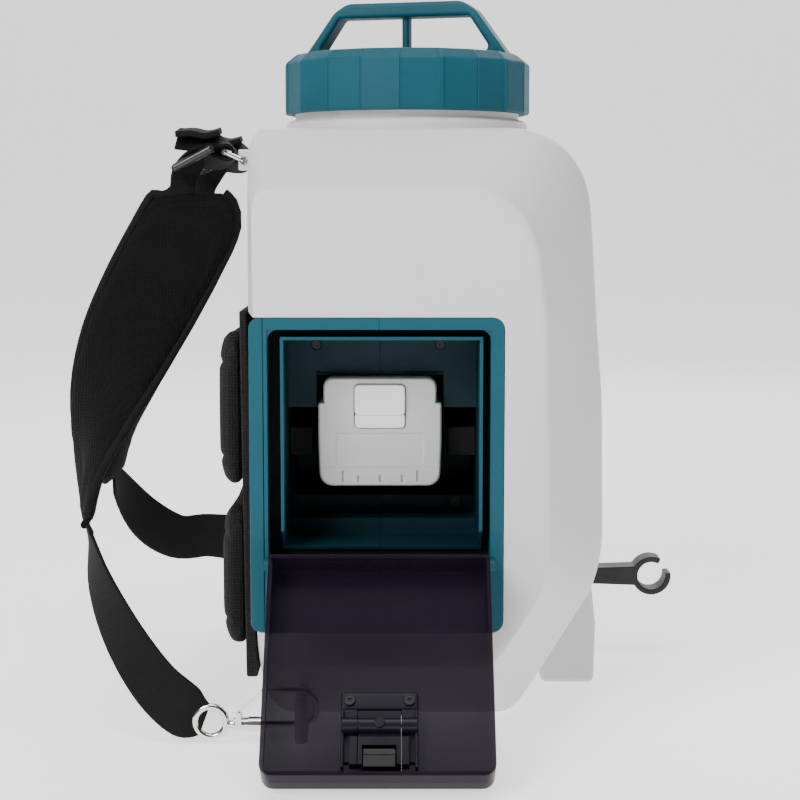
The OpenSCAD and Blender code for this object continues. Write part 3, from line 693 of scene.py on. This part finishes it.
LATCH_X = -11.5
COVER_OPEN = math.radians(140)
SWING = Matrix.Translation((0, -0.164, 0.110)) @ Matrix.Rotation(COVER_OPEN, 4, "X")


def swung(piece):
    """Turns a piece drawn shut about the hinge into the place where the cover hangs open."""
    piece.data.transform(SWING)
    piece.data.update()
    return piece


def tray(name, x0, x1, n0, n1, t1, round_by):
    """The cover's plan with its two free corners rounded, from one depth to another."""
    return plate(name, filleted([(x0, 3.2), (x1, 3.2), (x1, t1), (x0, t1)],
                                (0, 0, round_by, round_by), 6), n0, n1)


cover = tray("cover_tray", -77.5, 53, -1, 20.5, 140, 7)
inside = tray("inside", -75.2, 50.7, 1.5, 30, 135, 3)
inside.data.transform(Matrix.Translation((0, 0, 0.0025)))
cut(cover, inside)
eased(cover, 0.8, 3)
fused(cover, bar("barrel", (-77.2, 0, 0), (52.7, 0, 0), 3.4),
      block("root", (-77.3, -0.9, 0), (52.8, 1.4, 6)))
cut(cover, bar("bore", (-90, 0, 0), (60, 0, 0), 1.6),
    block("latch_window", (LATCH_X - 12.28, -5, 96), (LATCH_X + 12.28, 6, 132)))
for x in (-75.4, 51.4):
    fused(cover, eased(block("rim_bead", (x - 0.8, 18.5, 8), (x + 0.8, 21.0, 134)), 0.4))
swung(tidied(cover))
smooth(cover, 32)
smoke = Finish("smoked_clear", (0.0125, 0.0078, 0.0165), Roughness=0.2, IOR=1.18, Alpha=0.86,
               Specular_IOR_Level=0.2)
smoke.lay(Base_Color=smoke.shades(smoke.noise(7, 3), 0.7, 1.4),
          Roughness=0.16 + smoke.noise(40, 4) * 0.14)
smoke.relief(smoke.noise(22, 2), 0.0004, 0.25)
smoke.wear(cover)
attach(cover, "cover")
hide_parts("cover")
steel = Finish("ground_steel", (0.55, 0.55, 0.56), Metallic=1.0, Roughness=0.3)
steel.lay(Roughness=0.22 + steel.noise(260, 3) * 0.2,
          Base_Color=steel.shades(steel.noise(120, 3), 0.8, 1.1))
steel.relief(steel.noise(900, 2), 0.0001, 0.3)
steel.wear(softened("cover_pin", 0.2))


# ---- Latch ----
# A plate with two screws holds the latch to the inside of the cover. The lever turns on a pin
# between two lobes, and a black hook at its end catches the frame when the cover shuts.

tinted = Finish("smoked_latch", (0.0075, 0.0068, 0.0115), Roughness=0.3, IOR=1.3)
tinted.lay(Base_Color=tinted.shades(tinted.noise(25, 3), 0.7, 1.6),
           Roughness=0.24 + tinted.noise(70, 3) * 0.16)
tinted.relief(tinted.noise(60, 2), 0.0002, 0.3)
PIN_DEPTH = 8.5
PIN_HEIGHT = 106


def latch_block(name, low, high, ease):
    """An eased block whose x is counted from the latch's middle line."""
    return eased(block(name, (LATCH_X + low[0], *low[1:]), (LATCH_X + high[0], *high[1:])), ease)


def on_pin(name, x0, x1, radius, sides=32):
    """A round bar on the line of the latch's pin, with x counted from the middle line."""
    return bar(name, (LATCH_X + x0, PIN_DEPTH, PIN_HEIGHT), (LATCH_X + x1, PIN_DEPTH, PIN_HEIGHT),
               radius, sides)


mount = latch_block("latch_plate_piece", (-22, 1.52, 84), (22, 4.5, 95), 1.4)
lobes = latch_block("lobes", (-21.9, 1.52, 95.1), (-12.29, 5.6, 127), 0.5)
fused(lobes, latch_block("arm", (-20.5, 1.6, 101.5), (-12.33, 8.5, 110.5), 0.4),
      eased(on_pin("eye", -21.5, -12.31, 4.5), 0.3))
fused(lobes, latch_block("rail", (-21.8, 1.65, 96.2), (-19.9, 8.6, 131), 0.7),
      latch_block("wing", (-16.8, 1.7, 112.6), (-12.3, 9.4, 129.5), 0.4))
cut(lobes, on_pin("bore", -40, 40, 1.5))
alone(lobes)
bpy.ops.object.duplicate()
other = bpy.context.object
to_middle = Matrix.Translation((LATCH_X / 1000, 0, 0))
mirror = Matrix.Scale(-1, 4, (1, 0, 0))
other.data.transform(to_middle @ mirror @ to_middle.inverted())
alone(other)
lobes.select_set(True)
bpy.context.view_layer.objects.active = lobes
bpy.ops.object.join()
lobes.name = "latch_base_piece"
lever = latch_block("latch_lever_piece", (-12.22, -1, 101), (12.22, 4.5, 131.4), 0.3)
drum = on_pin("drum", -12.2, 12.2, 9.4, 64)
cut(drum, block("front", (LATCH_X - 20, 7.2, 90), (LATCH_X + 20, 30, 130)))
fused(lever, eased(drum, 0.25), eased(on_pin("hub", -12.16, 12.16, 4.4), 0.3),
      latch_block("pull", (-12.18, 4.2, 113), (12.18, 9.4, 129.5), 0.4))
cut(lever, on_pin("bore", -40, 40, 1.55),
    latch_block("hook_room", (-9.6, 3, 118), (9.6, 20, 140), 0.3))
seat = bar("spring_seat", (LATCH_X, 3.9, 105.8), (LATCH_X, 13.4, 105.8), 3.2)
fused(lever, eased(seat, 0.5))
for piece, node in ((mount, "latch_plate"), (lobes, "latch_base"), (lever, "latch_lever")):
    swung(tidied(piece))
    smooth(piece, 34)
    tinted.wear(piece)
    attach(piece, BODY_OF[node])
    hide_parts(node)
black.wear(softened("latch_hook", 0.5))
steel.wear(softened("latch_pin", 0.2))
heads = softened("latch_screws", 0.4)
spots = [SWING @ Vector(((LATCH_X + x) / 1000, 0.0061, 0.0895)) * 1000 for x in (-17, 17)]
way = SWING.to_3x3() @ Vector((0, -1, 0))
screw_black.wear(recessed(heads, spots, way))


# ---- Control panel ----
# A black push button, a diffuse lamp and a dark gauge window are pushed into the panel under the
# bay, with the circuit board behind them.

black.wear(softened("power_button", 0.8, 3))
lens = Finish("lamp_lens", (0.30, 0.10, 0.02), Roughness=0.25, Coat_Weight=0.5)
lens.lay(Base_Color=lens.shades(lens.noise(120, 3), 0.8, 1.3), Roughness=0.2 + lens.noise(200, 2) * 0.15)
lens.relief(lens.noise(600, 2), 0.0002, 0.3)
lens.wear(softened("status_lamp", 0.9, 3))
dark = Finish("gauge_lens", (0.015, 0.018, 0.02), Roughness=0.1, Coat_Weight=0.6)
dark.lay(Base_Color=dark.shades(dark.noise(60, 3), 0.7, 1.5), Roughness=0.08 + dark.noise(90, 3) * 0.1)
dark.relief(dark.noise(200, 2), 0.0001, 0.2)
dark.wear(softened("gauge_window", 0.7))
lacquer = Finish("green_lacquer", (0.012, 0.10, 0.035), Roughness=0.35, Coat_Weight=0.3)
tracks = lacquer.noise(60, 1, 0.5, (1, 1, 8)) > 0.52
lacquer.lay(Base_Color=lacquer.shades(tracks, 0.8, 1.7), Roughness=0.3 + lacquer.noise(120, 2) * 0.15)
lacquer.relief(tracks, 0.0001, 0.5)
lacquer.wear(softened("control_board", 0.3))


# ---- Pump ----
# A can motor turns a brass cam in the black pump head. Natural nylon tubes bring the liquid from
# the tank's floor and carry it out to the barb, where the hose is pushed on.

can = Finish("motor_can", (0.38, 0.38, 0.4), Metallic=1.0, Roughness=0.36)
can.lay(Roughness=0.3 + can.noise(50, 3, 0.6, (1, 30, 1)) * 0.2,
        Base_Color=can.shades(can.noise(60, 3), 0.8, 1.15))
can.relief(can.noise(500, 2), 0.0001, 0.3)
can.wear(softened("motor", 0.8))
steel.wear(softened("motor_shaft", 0.3))
brass.wear(softened("pump_cam", 0.4))
black.wear(softened("pump_head", 1.2, 3))
natural.wear(softened("suction_tube", 0.2), softened("outlet_tube", 0.2))
OUTLET_X = 25
OUTLET_Z = 100
BARB = ((6, 148.1), (6, 160.2), (3.9, 160.8), (3.9, 166.5), (5, 166.7), (3.9, 171.8), (5, 172.2),
        (3.9, 177.3), (5, 177.7), (3.9, 183), (3.4, 184))
barb_rings = []
for radius, y in BARB:
    ring = []
    for k in range(32):
        turn = 2 * math.pi * k / 32
        x, z = OUTLET_X + radius * math.cos(turn), OUTLET_Z + radius * math.sin(turn)
        ring.append((x / 1000, y / 1000, z / 1000))
    barb_rings.append(ring)
barb = loft("barb", barb_rings)
fused(barb, eased(bar("collar", (OUTLET_X, 161, OUTLET_Z), (OUTLET_X, 164, OUTLET_Z), 9, 6), 0.5))
cut(barb, bar("bore", (OUTLET_X, 140, OUTLET_Z), (OUTLET_X, 190, OUTLET_Z), 2.5))
smooth(tidied(barb), 32)
black.wear(barb)
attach(barb, "tank")
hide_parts("outlet_barb")


# ---- Lance clip ----
# A sprung clip is moulded in black plastic and stands out from the tank's rear. The lance is
# pushed into it by its tube while the sprayer is put away.

black.wear(softened("lance_clip", 1.4, 3))


# ---- Back pad ----
# A stitched board of foam covers the tank's back, and two thick cushions are sewn on it, with
# channels pressed across them. All of it is covered in black spacer mesh.

def swollen(piece, most, voxel=0.004):
    """Foam fills its cover: the pad is blown up a little, and no point travels past a limit."""
    worked(piece, "REMESH", mode="VOXEL", voxel_size=voxel)
    start = [corner.co.copy() for corner in piece.data.vertices]
    alone(piece)
    cloth = piece.modifiers.new("cloth", "CLOTH")
    cloth.settings.use_pressure = True
    cloth.settings.uniform_pressure_force = 4
    cloth.settings.effector_weights.gravity = 0
    for moment in range(1, 21):
        bpy.context.scene.frame_set(moment)
    bpy.ops.object.modifier_apply(modifier="cloth")
    for corner, before in zip(piece.data.vertices, start):
        travel = corner.co - before
        if travel.length > most / 1000:
            corner.co = before + travel.normalized() * most / 1000
    bpy.context.scene.frame_set(1)
    return worked(piece, "SUBSURF", levels=1, render_levels=1)


CUSHION_HALF = 98


def back_cushion(name, z0, z1, x_flat, depth):
    """A cushion pulled out from the board in rings, each smaller and rounder than the last."""
    rings = []
    for out, inset, bend in ((0, 2.0, 12), (1.5, 0.5, 14), (5, 0, 16), (8.5, 0.8, 18),
                             (11, 3.5, 20), (12.6, 8, 22), (depth, 16, 22)):
        wide, low, high = CUSHION_HALF - inset, z0 + inset, z1 - inset
        corners = [(-wide, low), (wide, low), (wide, high), (-wide, high)]
        outline = filleted(corners, bend - inset * 0.3, 8)
        rings.append([((x_flat - out) / 1000, y / 1000, z / 1000) for y, z in outline])
    pad = swollen(loft(name, rings), 1.6)
    for corner in pad.data.vertices:
        share = (corner.co.z * 1000 - z0) / (z1 - z0)
        deep = max(0, -(corner.co.x * 1000 - x_flat) / depth)
        for seam in (0.2, 0.8):
            corner.co.x += 0.0016 * deep * math.exp(-(((share - seam) * (z1 - z0)) / 2.2) ** 2)
        corner.co.x = min(corner.co.x, x_flat / 1000)
        corner.co.y = max(-0.1, min(0.1, corner.co.y))
    smooth(pad, 60)
    return pad


def spacer(name, colour):
    """Spacer mesh: knitted cloth with a close pattern of small holes."""
    cloth = Finish(name, colour, Roughness=0.9, Sheen_Weight=0.02, Specular_IOR_Level=0.12)
    feeds = {"Vector": cloth.place(), "Scale": 520.0, "Randomness": 0.22}
    holes = cloth.node("TexVoronoi", {"feature": "F1"}, feeds)
    knots = cloth.node("ValToRGB", {"stops": ((0.18, 0.0), (0.62, 1.0))}, {"Fac": holes})
    cloth.lay(Base_Color=cloth.shades(knots * 0.75 + cloth.noise(40, 3) * 0.25, 0.45, 2.6),
              Roughness=0.8 + knots * 0.15)
    cloth.relief(knots + cloth.noise(70, 3) * 0.4, 0.0006, 0.7)
    return cloth


mesh_cloth = spacer("spacer_mesh", (0.0092, 0.0085, 0.0083))
board = softened("back_board", 1.6, 3)
mesh_cloth.wear(board)
for node, z0, z1, x_flat in (("upper_cushion", 144, 245, -100.5), ("lower_cushion", 40, 133, -99.2)):
    pad = back_cushion(node + "_pad", z0, z1, x_flat, 13.8)
    mesh_cloth.wear(pad)
    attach(pad, "tank")
    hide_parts(node)


# ---- Upper strap ends ----
# A wire ring hangs in each upper lug. The webbing folds round it, and a ladder buckle grips the
# fold, so that its loose tail sets the length of the strap.

chrome = Finish("polished_wire", (0.78, 0.74, 0.69), Metallic=1.0, Roughness=0.12)
chrome.lay(Base_Color=chrome.shades(chrome.noise(60, 3), 0.85, 1.08),
           Roughness=0.08 + chrome.noise(150, 3) * 0.12)
chrome.relief(chrome.noise(180, 2), 0.0001, 0.25)
webbing = Finish("nylon_webbing", (0.0042, 0.0040, 0.0040), Roughness=0.85, Sheen_Weight=0.02,
                 Specular_IOR_Level=0.14)
along = webbing.node("Attribute", {"attribute_name": "along"}, {}, "Fac")
across = webbing.node("Attribute", {"attribute_name": "across"}, {}, "Fac")
RIB_PITCH = 0.0016
CORD_PITCH = 0.0022
ribs = (along * (math.pi / RIB_PITCH)).bent("SINE").bent("ABSOLUTE")
cords = (across * (math.pi / CORD_PITCH)).bent("SINE").bent("ABSOLUTE")
weave = ribs * 0.6 + cords * 0.4
webbing.lay(Base_Color=webbing.shades(weave * 0.7 + webbing.noise(60, 3) * 0.3, 0.5, 2.2),
            Roughness=0.7 + weave * 0.15)
webbing.relief(weave, 0.0005, 0.7)


def curved(points, parts):
    """A smooth run through every point, with some steps between each two."""
    made = []
    for i in range(len(points) - 1):
        a, b = Vector(points[max(i - 1, 0)]), Vector(points[i])
        c, d = Vector(points[i + 1]), Vector(points[min(i + 2, len(points) - 1)])
        for k in range(parts):
            t = k / parts
            made.append(0.5 * (2 * b + (c - a) * t + (2 * a - 5 * b + 4 * c - d) * t * t
                               + (3 * b - a - 3 * c + d) * t ** 3))
    return made + [Vector(points[-1])]


def rounded_place(point):
    return tuple(round(value, 6) for value in point)


def strap(name, route, wide, widths, section, parts):
    """A strap swept along a route, its section given as shares of each place's width and depth."""
    route = curved(route, parts)
    wide = curved(wide, parts)
    widths = curved([(w, d, 0) for w, d in widths], parts)
    rings, marks, length = [], {}, 0
    for i, point in enumerate(route):
        before, after = route[max(i - 1, 0)], route[min(i + 1, len(route) - 1)]
        ahead = (after - before).normalized()
        side = (wide[i] - ahead * wide[i].dot(ahead)).normalized()
        face = ahead.cross(side)
        length += (point - route[max(i - 1, 0)]).length / 1000
        ring = []
        for a, b in section:
            spot = (point + side * a * widths[i].x / 2 + face * b * widths[i].y / 2) / 1000
            ring.append(spot)
            marks[rounded_place(spot)] = (length, a * widths[i].x / 2000)
        rings.append(ring)
    piece = loft(name, rings)
    for number, label in enumerate(("along", "across")):
        layer = piece.data.attributes.new(label, "FLOAT", "POINT")
        for corner in piece.data.vertices:
            mark = marks.get(rounded_place(corner.co), (0, 0))
            layer.data[corner.index].value = mark[number]
    return piece


FLAT = ((-1, -0.4), (-0.96, -1), (-0.5, -1), (0, -1), (0.5, -1), (0.96, -1), (1, -0.4),
        (1, 0.4), (0.96, 1), (0.5, 1), (0, 1), (-0.5, 1), (-0.96, 1), (-1, 0.4))
LEAN = (0, 0.8, 0.6)
shine = Finish("glossy_nylon", (0.016, 0.016, 0.017), Roughness=0.24)
shine.lay(Base_Color=shine.shades(shine.noise(40, 3), 0.8, 1.4),
          Roughness=0.18 + shine.noise(80, 3) * 0.16)
shine.relief(shine.noise(400, 2), 0.0002, 0.3)
for side, name in ((-1, "left"), (1, "right")):
    y = side * STRAP_Y
    out = -7 if side > 0 else 0
    chrome.wear(softened("upper_ring_" + name))
    band = strap("webbing",
                 [(-141 + out, y, 366), (-130, y, 365), (-117, y, 364.5), (-108, y, 361.5),
                  (-104.6, y, 357), (-106.5, y, 352.6), (-114, y, 350.6), (-124, y, 353)],
                 [LEAN, LEAN, (0, 0.9, 0.4), (0, 1, 0), (0, 1, 0), (0, 1, 0), (0, 0.95, -0.3),
                  (0, 0.85, -0.5)],
                 [(22, 2)] * 8, FLAT, 5)
    tail = strap("tail",
                 [(-141, y, 369.5), (-131, y, 370.2), (-122, y, 368.6), (-113.5, y, 370.6)],
                 [(0, 1, 0.12)] * 4, [(23, 3.6)] * 4, FLAT, 4)
    under = strap("under",
                  [(-138 + out, y, 327 + out), (-137.5 + out / 2, y, 336), (-136, y, 345),
                   (-129, y, 353), (-119, y, 357), (-110, y, 358)],
                  [(0.88, 0, -0.48), (0.85, 0.3, -0.4), (0.6, 0.6, -0.5), (0.2, 0.8, -0.55),
                   (0, 0.85, -0.5), (0, 0.95, -0.3)],
                  [(19, 2), (17, 2), (19, 2), (22, 2), (22, 2), (20, 2)], FLAT, 5)
    alone(band)
    tail.select_set(True)
    under.select_set(True)
    bpy.context.view_layer.objects.active = band
    bpy.ops.object.join()
    band.name = "upper_webbing_" + name + "_piece"
    smooth(band, 50)
    webbing.wear(band)
    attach(band, "tank")
    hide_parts("upper_webbing_" + name)
    (x0, z0), (x1, z1) = (-141.5, 347), (-118, 359.5)
    rails = [eased(bar("rail", (x0, y + edge, z0), (x1, y + edge, z1), 2.6, 20), 0.8)
             for edge in (-14.8, 14.8)]
    buckle = fused(*rails)
    for share in (0.03, 0.5, 0.97):
        x, z = x0 + (x1 - x0) * share, z0 + (z1 - z0) * share
        fused(buckle, bar("rung", (x, y - 15, z), (x, y + 15, z), 2.3, 20))
    buckle.name = "adjuster_" + name + "_piece"
    smooth(tidied(buckle), 40)
    shine.wear(buckle)
    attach(buckle, "tank")
    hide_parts("adjuster_" + name)


# ---- Shoulder pads ----
# Each pad is a strip of foam in spacer mesh, cut wide over the shoulder and narrower below, with a
# piping sewn round its edge.

def spun(sides, offset, x_power, y_power):
    """Points of a rounded section: a power below one makes that side of it fuller."""
    made = []
    for k in range(sides):
        turn = 2 * math.pi * (k + offset) / sides
        x, y = math.cos(turn), math.sin(turn)
        made.append((math.copysign(abs(x) ** x_power, x), math.copysign(abs(y) ** y_power, y)))
    return made


PAD = spun(24, 0.5, 0.45, 0.8)
ROUND = spun(8, 0, 1, 1)
dark_cloth = spacer("strap_mesh", (0.0022, 0.0021, 0.0021))
for side, name in ((-1, "left"), (1, "right")):
    out = -14 if side > 0 else 0
    y = side * STRAP_Y
    route = [(x + out, y + side * dy, z) for x, dy, z in
             ((-128, 0, 333), (-130, 0, 321), (-143, 1, 296), (-158, 3, 268), (-174, 7, 236),
              (-188, 11, 200), (-197, 15, 160), (-200, 17, 124))]
    wide = [(x, side * dy, z) for x, dy, z in
            ((0.88, 0, -0.48), (0.88, 0, -0.48), (0.88, 0, -0.48), (0.88, 0, -0.48),
             (0.86, 0.2, -0.42), (0.75, 0.6, -0.3), (0.4, 0.9, -0.1), (0.1, 1, 0))]
    sizes = [(36, 6), (60, 9.5), (64, 11), (64, 11), (62, 11), (60, 11), (56, 10.5), (42, 8)]
    pad = swollen(strap("pad", route, wide, sizes, PAD, 4), 1.4)
    pad.name = "shoulder_pad_" + name + "_pad"
    smooth(pad, 60)
    dark_cloth.wear(pad)
    runs, ways = curved(route, 4), curved(wide, 4)
    breadths = curved([(w, d, 0) for w, d in sizes], 4)
    edges = {-1: [], 1: []}
    for i, point in enumerate(runs):
        ahead = (runs[min(i + 1, len(runs) - 1)] - runs[max(i - 1, 0)]).normalized()
        sidewise = (ways[i] - ahead * ways[i].dot(ahead)).normalized()
        for edge in edges:
            edges[edge].append(point + sidewise * edge * (breadths[i].x / 2 - 1.4))
    loop = edges[-1] + edges[1][::-1]
    piping = strap("piping", loop, [(0.2, 0.5 * side, 1)] * len(loop),
                   [(5.4, 5.4)] * len(loop), ROUND, 1)
    piping.name = "piping_" + name
    smooth(piping, 60)
    webbing.wear(piping)
    for piece in (pad, piping):
        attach(piece, "tank")
        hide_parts("shoulder_pad_" + name)


# ---- Lower webbing ----
# A length of nylon webbing runs from each pad down to its snap hook. The real end is folded through
#  the ring and sewn down with a boxed seam; the fold and the seam are not drawn here.

LOW_ROUTES = {
    "left": ((-118, -164, 15), (-130, -163, 20), (-150, -152, 34), (-172, -134, 60),
             (-190, -112, 90), (-199, -94, 122)),
    "right": ((-113, 164, 52), (-127, 163, 62), (-150, 160, 66), (-174, 150, 67),
              (-196, 124, 88), (-213, 95, 122)),
}
for side, name in ((-1, "left"), (1, "right")):
    wide = [(x, side * dy, z) for x, dy, z in
            ((0.3, 0, 0.95), (0.3, 0, 0.95), (0.5, 0.1, 0.86), (0.6, 0.4, 0.7), (0.5, 0.8, 0.3),
             (0.1, 1, 0))]
    low = strap("low_webbing_" + name, LOW_ROUTES[name], wide,
                [(20, 2.4)] + [(34, 2.4)] * 5, FLAT, 6)
    smooth(low, 50)
    webbing.wear(low)
    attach(low, "tank")
    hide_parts("lower_webbing_" + name)


# ---- Snap hooks ----
# Each hook is bent from plated wire and passes through the tank's lower lug. A collar screws over
# the wire's ends, a sprung strip closes the mouth, and a swivelling ring takes the webbing.

for name in ("left", "right"):
    chrome.wear(softened("snap_hook_" + name), softened("gate_" + name, 0.3))
